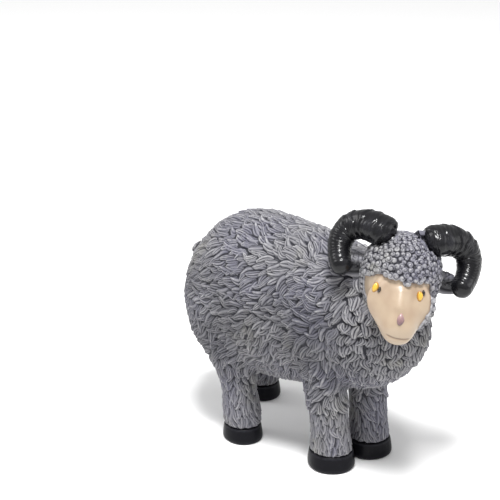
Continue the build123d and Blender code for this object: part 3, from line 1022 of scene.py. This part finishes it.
class RAM_OT_head(bpy.types.Operator):
    """Carve the snail curls of the woolly head round the bare face"""

    bl_idname = "ram.head"
    bl_label = "Carve Head"

    roots: roots_property(20000)

    def execute(self, context):
        sizes = settings("ram_head")
        head = HeadFrame()
        chance = np.random.default_rng(settings("ram_fleece").seed + 1)
        piece = head_skin("fleece_head")
        skin = Carving(piece, sizes.curl_size)
        inside = head.inside(skin.places)
        edge = face_edge(inside, head)
        crown = sizes.crown_drop * smooth_step(inside[:, 2] / head.half[2], 0.45, 0.95)
        on_face = 1.0 - smooth_step(edge, -EDGE_SOFTNESS, 0.0)
        skin.rise = sizes.wool_rise - (sizes.wool_rise + sizes.bare_sink) * on_face - crown
        offered = thinned(chance.permutation(len(skin.places)), self.roots)
        offered = offered[edge[offered] > CURL_MARGIN]
        cheek = smooth_step(-inside[offered, 2], CHEEK_TOP, CHEEK_BOTTOM)
        spacing = sizes.curl_spacing * (1.0 - 0.15 * cheek)
        for chosen in scatter(skin.places[offered], spacing, chance):
            number = offered[chosen]
            normal = skin.normals[number]
            up = turned(UP, normal, chance.uniform(-0.9, 0.9))
            scale = chance.uniform(0.82, 1.15) * (1.0 - 0.15 * cheek[chosen])
            skin.curl(skin.places[number], normal, up, {
                "radius": sizes.curl_size / 2.0 * scale, "height": sizes.curl_height * scale,
                "base": 0.5 * sizes.wool_rise - crown[number], "turns": chance.uniform(0.9, 1.5),
                "hand": chance.choice((-1.0, 1.0)), "phase": chance.uniform(0.0, 2.0 * pi),
                "groove": 0.42, "tint": chance.random(),
            })
        skin.finish(sizes.wash_depth)
        piece.data.shade_smooth()
        finish_piece(piece, fleece_material(), "fleece_paint", "head")
        return {"FINISHED"}


class RAM_OT_face(bpy.types.Operator):
    """Shape the bare face: bridge, cheeks, muzzle and mouth"""

    bl_idname = "ram.face"
    bl_label = "Shape Face"

    wall: size_property("Wall", "Thickness of the face's shell", 0.0008)
    tuck: size_property("Tuck", "How far the hidden margin goes down under the wool", 0.0005)

    def execute(self, context):
        head = HeadFrame()
        piece = head_skin("bare_face")
        mesh = piece.data
        places, normals = vertex_places(mesh), vertex_normals(mesh)
        inside = head.inside(places)
        edge = face_edge(inside, head)
        across, height = face_view(inside, head)
        side = across - muzzle_lean(height)
        apart = np.abs(side)
        bridge = np.exp(-(side / 0.085) ** 2) * smooth_step(-height, -0.12, 0.02)
        bridge *= smooth_step(height, -0.34, -0.2)
        socket = np.exp(-((apart - 0.19) / 0.075) ** 2 - ((height + 0.02) / 0.10) ** 2)
        curve = -0.615 + 1.3 * side ** 2
        mouth = np.exp(-((height - curve) / 0.010) ** 2) * (1.0 - smooth_step(apart, 0.13, 0.17))
        chin = np.exp(-((height - curve + 0.035) / 0.022) ** 2) * (1.0 - smooth_step(apart, 0.10, 0.17))
        rise = BRIDGE_RISE_SHARE * bridge - SOCKET_DEPTH_SHARE * socket
        rise += CHIN_RISE_SHARE * chin - MOUTH_DEPTH_SHARE * mouth
        rise = rise * head.half[0] * 2.0 - self.tuck * smooth_step(edge, 0.0, EDGE_SOFTNESS)
        set_places(mesh, places + normals * rise[:, None])
        # Painted shade in the eye sockets and in a band beside the bridge; a darker tan at the face's rim
        # and in the mouth
        rim = smooth_step(edge, -0.0009, 0.0001)
        beside = np.exp(-((apart - 0.15) / 0.055) ** 2) * smooth_step(-height, -0.10, 0.05)
        beside *= smooth_step(height, -0.42, -0.25)
        wash_and_shade = 0.85 * rim + 0.8 * mouth + 0.12 * socket + 0.20 * beside
        set_attribute(mesh, "groove", np.clip(wash_and_shade, 0.0, 1.0))
        # Painted highlight: the bridge is kept the light cream
        set_attribute(mesh, "ridge", np.clip(bridge, 0.0, 1.0))
        self.cut_out(mesh, edge < FACE_MARGIN)
        apply_modifier(piece, "SOLIDIFY", thickness=self.wall, offset=-1.0)
        piece.data.shade_smooth()
        finish_piece(piece, face_material(), "face_paint", "face")
        return {"FINISHED"}

    def cut_out(self, mesh, wanted):
        """Keeps the face and a margin that the wool covers."""
        work = bmesh.new()
        work.from_mesh(mesh)
        spare = [vertex for vertex, keep in zip(work.verts, wanted) if not keep]
        bmesh.ops.delete(work, geom=spare, context="VERTS")
        work.to_mesh(mesh)
        work.free()


# Eyes and nose

# How far the eyes look aside and up, and the nose up, for one forward
EYE_ASIDE = 0.45
EYE_UP = 0.55
NOSE_UP = 0.75


def paint_dot(name, node, size_shares, normal, up, top_taper):
    """A low dot of paint in the place of a packed part: an egg with a narrower top."""
    low, high = box_corners(node)
    bpy.ops.object.select_all(action="DESELECT")
    bpy.ops.mesh.primitive_uv_sphere_add(segments=40, ring_count=24, radius=1.0)
    piece = named_piece(name)
    shape = vertex_places(piece.data)
    across = np.cross(normal, up)
    wide, tall, proud = size_shares
    wobble = 1.0 + 0.05 * np.sin(3.0 * np.arctan2(shape[:, 2], shape[:, 0]) + 1.0)
    narrow = 1.0 - top_taper * smooth_step(shape[:, 2], -0.2, 1.0)
    set_attribute(piece.data, "down", 0.5 - 0.5 * shape[:, 2])
    set_attribute(piece.data, "out", smooth_step(np.hypot(shape[:, 0], shape[:, 2]), 0.5, 1.0))
    places = (
        (low + high) / 2.0
        - across * (shape[:, 0] * wide * narrow * wobble)[:, None]
        + up * (shape[:, 2] * tall * wobble)[:, None]
        + normal * (-shape[:, 1] * proud)[:, None]
    )
    set_places(piece.data, places)
    piece.data.shade_smooth()
    return piece


class RAM_OT_eyes(bpy.types.Operator):
    """Dot the eyes, the pupils and the nose"""

    bl_idname = "ram.eyes"
    bl_label = "Dot Eyes and Nose"

    iris_size: dot_property("Iris", (0.00098, 0.00150, 0.00075))
    iris_slip: FloatVectorProperty(name="Iris Slip", default=(0.0006, 0.0003), size=2, unit="LENGTH",
                                   description="How far the left iris slipped inwards and up")
    pupil_size: dot_property("Pupil", (0.00050, 0.00086, 0.00060))
    nose_size: dot_property("Nose", (0.00110, 0.00185, 0.00070))

    def execute(self, context):
        paints = settings("ram_paints")
        head = HeadFrame()
        iris = two_tone_material("golden_eye", paints.iris, paints.iris_deep, "out", 0.12)
        pupil = two_tone_material("dark_pupil", paints.pupil, paints.pupil, "out", 0.15)
        # The nose goes from a painted highlight at its top to mauve below
        nose = two_tone_material("mauve_nose", paints.nose_highlight, paints.nose, "down", 0.25)
        forward = -head.axes[:, 1]
        for side, sign in SIDES:
            outward = unit(forward + head.axes[:, 0] * sign * EYE_ASIDE + head.axes[:, 2] * EYE_UP)
            upward = square_to(outward, head.axes[:, 2])
            eye = paint_dot("iris_" + side, "eye_" + side, self.iris_size, outward, upward,
                            top_taper=0.12)
            if side == "left":
                slip = -head.axes[:, 0] * self.iris_slip[0] + upward * self.iris_slip[1]
                set_places(eye.data, vertex_places(eye.data) + slip)
            finish_piece(eye, iris, "eye_paint", "eye_" + side)
            dot = paint_dot("pupil_dot_" + side, "pupil_" + side, self.pupil_size, outward, upward,
                            top_taper=0.25)
            finish_piece(dot, pupil, "pupil_paint", "pupil_" + side)
        outward = unit(forward + head.axes[:, 2] * NOSE_UP)
        upward = square_to(outward, head.axes[:, 2])
        tip = paint_dot("nose_dot", "nose", self.nose_size, outward, upward, top_taper=0.55)
        finish_piece(tip, nose, "nose_paint", "nose")
        return {"FINISHED"}


# Horns


def horn_line(share, side, sizes):
    """The middle of a horn at shares of its length, in the head's frame."""
    angle = sizes.start_angle - sizes.turn_angle * share
    radius = sizes.coil_radius + (sizes.base_reach - sizes.coil_radius) * (1.0 - share) ** 3
    radius = radius - (sizes.coil_radius - sizes.tip_reach) * share ** 3
    back = sizes.back + sizes.sweep_back * np.sin(0.9 * pi * share) - sizes.tip_forward * share ** 3
    out = sizes.out + radius * np.cos(angle)
    return np.stack((side * out, back, sizes.up + radius * np.sin(angle)), axis=-1)


class RAM_OT_horns(bpy.types.Operator):
    """Sweep the coiled horns and cut their growth grooves"""

    bl_idname = "ram.horns"
    bl_label = "Sweep Horns"

    rings: IntProperty(name="Rings", description="Sections along a horn", default=260, min=8)

    def execute(self, context):
        paints = settings("ram_paints")
        material = gloss_material("glossy_horn", paints.horn, paints.gloss_sheen, roughness=0.16,
                                  bump_scale=1400.0, bump_depth=0.00005, gloss=0.12)
        for side, sign in SIDES:
            piece = self.sweep("coiled_horn_" + side, sign)
            finish_piece(piece, material, "horn_paint", "horn_" + side)
        return {"FINISHED"}

    def sweep(self, name, sign):
        """One horn: a bevelled path whose radius closes at both ends, made a mesh and carved."""
        sizes = settings("ram_horns")
        head = HeadFrame()
        share = np.linspace(0.0, 1.0, self.rings)
        line = horn_line(share, sign, sizes)
        steps = np.linalg.norm(np.diff(line, axis=0), axis=1)
        run = np.concatenate(((0.0,), np.cumsum(steps)))
        end, root = sizes.end_round / run[-1], 0.5 * sizes.base_round / run[-1]
        share = np.linspace(-root, 1.0 + end, self.rings)
        line = self.stretched_line(share, sign, sizes)
        closing = np.clip(np.maximum(0.5 - share / (2.0 * root), (share - 1.0) / end), 0.0, 1.0)
        thick = sizes.base_diameter + (sizes.tip_diameter - sizes.base_diameter) * np.clip(share, 0.0, 1.0)
        radii = thick / 2.0 * np.sqrt(1.0 - closing ** 2.2)
        bpy.ops.object.select_all(action="DESELECT")
        bpy.ops.curve.primitive_nurbs_path_add()
        path = bpy.context.object
        spline = path.data.splines[0]
        spline.type = "POLY"
        spline.points.add(self.rings - len(spline.points))
        for point, place, radius in zip(spline.points, line, radii):
            point.co = (*place, 1.0)
            point.radius = radius
        path.data.bevel_depth = 1.0
        path.data.bevel_resolution = 20
        pick(path)
        bpy.ops.object.convert(target="MESH")
        piece = named_piece(name)
        bpy.ops.object.mode_set(mode="EDIT")
        bpy.ops.mesh.select_all(action="SELECT")
        bpy.ops.mesh.remove_doubles(threshold=0.000002)
        bpy.ops.mesh.select_all(action="SELECT")
        bpy.ops.mesh.fill_holes(sides=0)
        bpy.ops.mesh.select_all(action="SELECT")
        bpy.ops.mesh.normals_make_consistent(inside=False)
        bpy.ops.object.mode_set(mode="OBJECT")
        self.carve(piece, line, share, thick, sign, run[-1], head)
        piece.data.shade_smooth()
        return piece

    def stretched_line(self, share, sign, sizes):
        """The horn's middle line, drawn out straight past both ends."""
        near = 0.01
        inner = np.clip(share, 0.0, 1.0)
        first = horn_line(np.clip(inner - near, 0.0, 1.0), sign, sizes)
        second = horn_line(np.clip(inner + near, 0.0, 1.0), sign, sizes)
        slope = (second - first) / (np.clip(inner + near, 0, 1) - np.clip(inner - near, 0, 1))[:, None]
        return horn_line(inner, sign, sizes) + slope * (share - inner)[:, None]

    def carve(self, piece, line, share, thick, sign, length, head):
        """Cuts fine grooves, coarse growth steps and soft keels, and sets the horn on the head."""
        sizes = settings("ram_horns")
        mesh = piece.data
        places, normals = vertex_places(mesh), vertex_normals(mesh)
        apart = ((places[:, None, :] - line[None, ::2, :]) ** 2).sum(axis=2)
        nearest = apart.argmin(axis=1) * 2
        along = share[nearest] * length
        direction = unit(np.gradient(line, axis=0))[nearest]
        outward = places - line[nearest]
        back = unit(BACKWARD - (direction @ BACKWARD)[:, None] * direction)
        beside = np.cross(direction, back)
        angle = np.arctan2((outward * beside).sum(axis=1) * sign, (outward * back).sum(axis=1))
        wander = sizes.wide_wander * np.sin(2.0 * angle + along * 900.0)
        wander += sizes.close_wander * np.sin(5.0 * angle - along * 500.0)
        fine = np.abs(np.cos(pi * (along + wander) / sizes.groove_spacing)) ** 0.5
        step_share = (along + 2.5 * wander + 0.0003 * np.cos(angle)) / sizes.step_spacing
        step = 1.0 - (step_share - np.floor(step_share))
        step = step * smooth_step(1.0 - step, 0.0, 0.08)
        fading = 1.0 - 0.75 * smooth_step(along / length, 0.35, 0.9)
        keel = 0.045 * np.cos(3.0 * (angle - 1.0)) * (thick[nearest] / 2.0)
        keel *= 1.0 - smooth_step(along / length, 0.5, 1.0)
        rise = keel - sizes.groove_depth * (1.0 - fine) + sizes.step_depth * (step - 0.5) * fading
        closed = smooth_step(np.abs(share[nearest] - 0.5), 0.5, 0.5 + 0.6 * sizes.end_round / length)
        rise *= 1.0 - 0.6 * closed
        set_attribute(mesh, "groove", 1.0 - fine)
        # Painted highlight along the growth grooves and steps
        sheen_share = 0.5 * fine * ripple(places, 0.006, 1.7) + 0.25 * step * fading
        set_attribute(mesh, "ridge", np.clip(sheen_share, 0.0, 1.0))
        set_places(mesh, head.outside(places + normals * rise[:, None]))


# Ears


class RAM_OT_ears(bpy.types.Operator):
    """Hollow the ears and roll their rims"""

    bl_idname = "ram.ears"
    bl_label = "Hollow Ears"

    # Width of the cells in which the points round a curl are looked up
    cell = 0.001

    roots: roots_property(3000)
    grain: size_property("Grain", "Spacing of the points that the ears are carved with", 0.00012)
    hollow: size_property("Hollow", "Depth of the ear's hollow", 0.0012)
    rim_rise: size_property("Rim Rise", "How far the rim round the hollow stands out", 0.00012)
    curl_radius: size_property("Curl Radius", "Radius of a curl on the ear's upper side", 0.0011)
    curl_height: size_property("Curl Height", "How far a curl on the ear stands out", 0.0010)
    curl_spacing: size_property("Curl Spacing", "Distance between the curls on the ear", 0.0011)
    wash_depth: size_property("Wash Depth", "Depth of a groove that is painted quite dark", 0.0004)

    def execute(self, context):
        head = HeadFrame()
        chance = np.random.default_rng(settings("ram_fleece").seed + 2)
        material = self.material()
        for side, sign in SIDES:
            piece = solid_copy("leaf_ear_" + side, "ear_" + side)
            blended_skin(piece, self.grain, 12)
            skin = Carving(piece, self.cell)
            middle = skin.places.mean(axis=0)
            spread_axes = np.linalg.svd(skin.places - middle, full_matrices=False)[2]
            along, across, through = (axis if axis @ head.axes[:, k] * flip > 0 else -axis
                                      for axis, k, flip in zip(spread_axes, (0, 2, 1), (sign, 1, -1)))
            offset = skin.places - middle
            reach = (offset @ along) / np.abs(offset @ along).max()
            height = (offset @ across) / np.abs(offset @ across).max()
            round_share = np.hypot(reach * 0.9, height)
            facing = smooth_step(skin.normals @ through, 0.1, 0.6)
            bowl = (1.0 - smooth_step(round_share, 0.40, 0.95)) * facing
            skin.rise = self.rim_rise * facing * smooth_step(round_share, 0.7, 0.95) - self.hollow * bowl
            upper = np.flatnonzero((height > 0.20) & (skin.normals @ through > -0.4))
            offered = thinned(upper, self.roots)
            spacing = np.full(len(offered), self.curl_spacing)
            for chosen in scatter(skin.places[offered], spacing, chance):
                number = offered[chosen]
                up = turned(UP, skin.normals[number], chance.uniform(-1.5, 1.5))
                skin.curl(skin.places[number], skin.normals[number], up, {
                    "radius": self.curl_radius, "height": self.curl_height,
                    "base": -self.hollow * bowl[number], "turns": 1.2,
                    "hand": chance.choice((-1.0, 1.0)), "phase": chance.uniform(0.0, 6.0), "groove": 0.35,
                    "tint": chance.random(),
                })
            skin.finish(self.wash_depth)
            set_attribute(piece.data, "hollow", bowl)
            piece.data.shade_smooth()
            finish_piece(piece, material, "fleece_paint", "ear_" + side)
        return {"FINISHED"}

    def material(self):
        """The fleece's grey, with a smooth dark inside."""
        material, tree, shader, where = new_material("ear_paint", Specular_IOR_Level=0.45)
        worn = shade_and_highlight_paint(tree, where, fleece_paints(), attribute(tree, "groove"),
                          attribute(tree, "ridge"), 120.0)
        dark = ramp(tree, attribute(tree, "hollow"), 0.05, 0.8)
        colour = mixed(tree, dark, worn.outputs["Color"], settings("ram_paints").ear_inside)
        tree.links.new(colour, shader.inputs["Base Color"])
        roughen(tree, shader, worn.outputs["Grain"], 0.2, 0.35)
        bump(tree, shader, noise(tree, where, 1800.0), 0.3, 0.00006)
        return material


# Hooves

# From the sole up: the height and the width, as shares of the hoof's own
HOOF_PROFILE_SHARES = (
    (0.0, 0.895), (0.012, 0.925), (0.04, 0.955), (0.09, 0.980), (0.16, 0.995), (0.26, 1.0), (0.42, 0.990),
    (0.60, 0.972), (0.78, 0.952), (0.90, 0.935), (0.965, 0.915), (0.995, 0.880), (1.0, 0.80),
)


class RAM_OT_hooves(bpy.types.Operator):
    """Build the hooves up from their soles"""

    bl_idname = "ram.hooves"
    bl_label = "Build Hooves"

    def execute(self, context):
        paints = settings("ram_paints")
        material = gloss_material("glossy_hoof", paints.hoof, paints.gloss_sheen, roughness=0.26,
                                  bump_scale=900.0, bump_depth=0.00010, gloss=0.035)
        for leg in LEGS:
            piece = self.build("block_hoof_" + leg, "hoof_" + leg)
            finish_piece(piece, material, "hoof_paint", "hoof_" + leg)
        return {"FINISHED"}

    def build(self, name, node):
        """A disc raised step by step along the hoof's profile, then evened and worn."""
        low, high = box_corners(node)
        middle, size = (low + high) / 2.0, high - low
        sole = Vector((middle[0], middle[1], low[2]))
        bpy.ops.object.select_all(action="DESELECT")
        bpy.ops.mesh.primitive_circle_add(vertices=96, radius=0.5, fill_type="NGON")
        piece = named_piece(name)
        bpy.ops.object.mode_set(mode="EDIT")
        bpy.ops.mesh.select_all(action="SELECT")
        height, width = HOOF_PROFILE_SHARES[0]
        bpy.ops.transform.resize(value=(width, width, 1.0))
        for next_height, next_width in HOOF_PROFILE_SHARES[1:]:
            rise = {"value": (0.0, 0.0, next_height - height)}
            bpy.ops.mesh.extrude_region_move(TRANSFORM_OT_translate=rise)
            bpy.ops.transform.resize(value=(next_width / width, next_width / width, 1.0))
            height, width = next_height, next_width
        bpy.ops.mesh.select_all(action="SELECT")
        bpy.ops.mesh.normals_make_consistent(inside=False)
        bpy.ops.object.mode_set(mode="OBJECT")
        apply_modifier(piece, "SUBSURF", levels=1, render_levels=1, subdivision_type="SIMPLE")
        shape = vertex_places(piece.data)
        angle = np.arctan2(shape[:, 1], shape[:, 0])
        level = shape[:, 2]
        uneven = 1.0 + 0.008 * np.sin(3.0 * angle + sole.x * 900.0)
        uneven += 0.006 * np.sin(5.0 * angle + sole.y * 700.0)
        toe = 1.0 - 0.012 * np.exp(-((angle + pi / 2.0) / 0.16) ** 2) * level
        shape[:, :2] *= (uneven * toe)[:, None]
        lip = np.exp(-((level - 0.93) / 0.05) ** 2)
        # Painted highlight at the coronet's lip and near the sole
        sheen_share = 0.6 * lip + 0.4 * np.exp(-((level - 0.12) / 0.08) ** 2)
        set_attribute(piece.data, "ridge", np.clip(sheen_share, 0.0, 1.0))
        set_attribute(piece.data, "groove", np.zeros(len(shape)))
        room = np.minimum(1.0, 0.5 / np.maximum(np.abs(shape[:, :2]).max(axis=0), FINE))
        shape[:, :2] *= room
        set_places(piece.data, shape * size + np.array(sole))
        piece.data.shade_smooth()
        return piece


class RAM_OT_wires(bpy.types.Operator):
    """Paint the hidden wires and pegs"""

    bl_idname = "ram.wires"
    bl_label = "Paint Wires"

    def execute(self, context):
        steel = steel_material()
        names = ["leg_wire_" + leg for leg in LEGS] + ["horn_peg_left", "horn_peg_right", "neck_peg"]
        for name in names:
            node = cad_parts[name]
            node.data.materials.clear()
            node.data.materials.append(steel)
        return {"FINISHED"}


# Stage


class RAM_OT_stage(bpy.types.Operator):
    """Lay the floor, set the lights and aim the camera"""

    bl_idname = "ram.stage"
    bl_label = "Set Stage"

    def execute(self, context):
        self.lay_floor()
        self.set_lights()
        self.aim_camera()
        return {"FINISHED"}

    def lay_floor(self):
        """A wide pale floor and a pale world."""
        bpy.ops.object.select_all(action="DESELECT")
        bpy.ops.mesh.primitive_plane_add(size=6.0, location=(0.0, 0.0, 0.0))
        floor = bpy.context.object
        floor.name = "floor"
        material, tree, shader, where = new_material("pale_floor", Roughness=0.65)
        colour = settings("ram_paints").floor
        mottle = mixed(tree, noise(tree, where, 12.0), colour, [0.985 * value for value in colour])
        tree.links.new(mottle, shader.inputs["Base Color"])
        floor.data.materials.append(material)
        floor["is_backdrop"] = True
        world = bpy.data.worlds.new("pale_room")
        bpy.context.scene.world = world
        world.use_nodes = True
        background = world.node_tree.nodes["Background"]
        background.inputs["Color"].default_value = (1.0, 1.0, 1.0, 1.0)
        background.inputs["Strength"].default_value = settings("ram_studio").room_light
        bpy.context.scene.view_settings.view_transform = "Standard"

    def set_lights(self):
        """Soft light panels round the figure: name, place from the figure, size and power."""
        middle = sum(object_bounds(), Vector()) / 2.0
        panels = (
            ("key", (-0.20, -0.16, 0.72), 0.20, 8.6),
            ("fill", (0.45, -0.60, 0.30), 0.4, 0.8),
            ("back", (-0.25, 0.65, 0.60), 0.4, 2.0),
        )
        for name, place, size, power in panels:
            light = bpy.data.lights.new(name, "AREA")
            light.size = size
            light.energy = power
            panel = linked_object(name, light)
            panel.location = middle + Vector(place)
            panel.rotation_euler = (middle - panel.location).to_track_quat("-Z", "Y").to_euler()

    def aim_camera(self):
        """Sets the camera, turned so that the set-up point falls where it should in the picture."""
        studio = settings("ram_studio")
        hoof = sum(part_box("hoof_front_right"), Vector()) / 2.0
        aim = Vector((hoof.x + studio.aim_right, hoof.y + studio.aim_back, studio.aim_height))
        flat = cos(studio.elevation)
        back = Vector((sin(studio.azimuth) * flat, -cos(studio.azimuth) * flat, sin(studio.elevation)))
        right = Vector((cos(studio.azimuth), sin(studio.azimuth), 0.0))
        upward = back.cross(right)
        centre = studio.picture / 2.0
        forward = -back * studio.focal_pixels
        forward += right * (centre - studio.aim_column) - upward * (centre - studio.aim_row)
        forward.normalize()
        right = (right - forward * right.dot(forward)).normalized()
        upward = right.cross(forward)
        lens = bpy.data.cameras.new("camera")
        lens.sensor_width = 36.0
        lens.lens = lens.sensor_width * studio.focal_pixels / studio.picture
        lens.clip_start = 0.01
        camera = linked_object("camera", lens)
        turn = Matrix((right, upward, -forward)).transposed()
        camera.matrix_world = Matrix.Translation(aim + back * studio.distance) @ turn.to_4x4()
        bpy.context.scene.camera = camera


STEPS = (RAM_OT_fleece, RAM_OT_head, RAM_OT_face, RAM_OT_eyes, RAM_OT_horns, RAM_OT_ears, RAM_OT_hooves,
         RAM_OT_wires, RAM_OT_stage)


class RAM_PT_panel(bpy.types.Panel):
    """The steps that dress the ram, and their settings"""

    bl_idname = "RAM_PT_panel"
    bl_label = "Ram"
    bl_space_type = "VIEW_3D"
    bl_region_type = "UI"
    bl_category = "Ram"

    def draw(self, context):
        for step in STEPS:
            self.layout.operator(step.bl_idname)
        for name, group in SETTINGS.items():
            box = self.layout.box()
            box.label(text=group.__doc__)
            for key in group.__annotations__:
                box.prop(settings(name), key)


def register():
    """Registers the settings, the steps and the panel."""
    for group in (*SETTINGS.values(), *STEPS, RAM_PT_panel):
        bpy.utils.register_class(group)
    for name, group in SETTINGS.items():
        setattr(bpy.types.Scene, name, PointerProperty(type=group))


def unregister():
    """Takes them away again."""
    for name in SETTINGS:
        delattr(bpy.types.Scene, name)
    for group in (RAM_PT_panel, *reversed(STEPS), *SETTINGS.values()):
        bpy.utils.unregister_class(group)


def main():
    """Dresses the ram step by step."""
    register()
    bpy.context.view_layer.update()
    for step in STEPS:
        group, name = step.bl_idname.split(".")
        getattr(getattr(bpy.ops, group), name)()


if __name__ == "__main__":
    main()
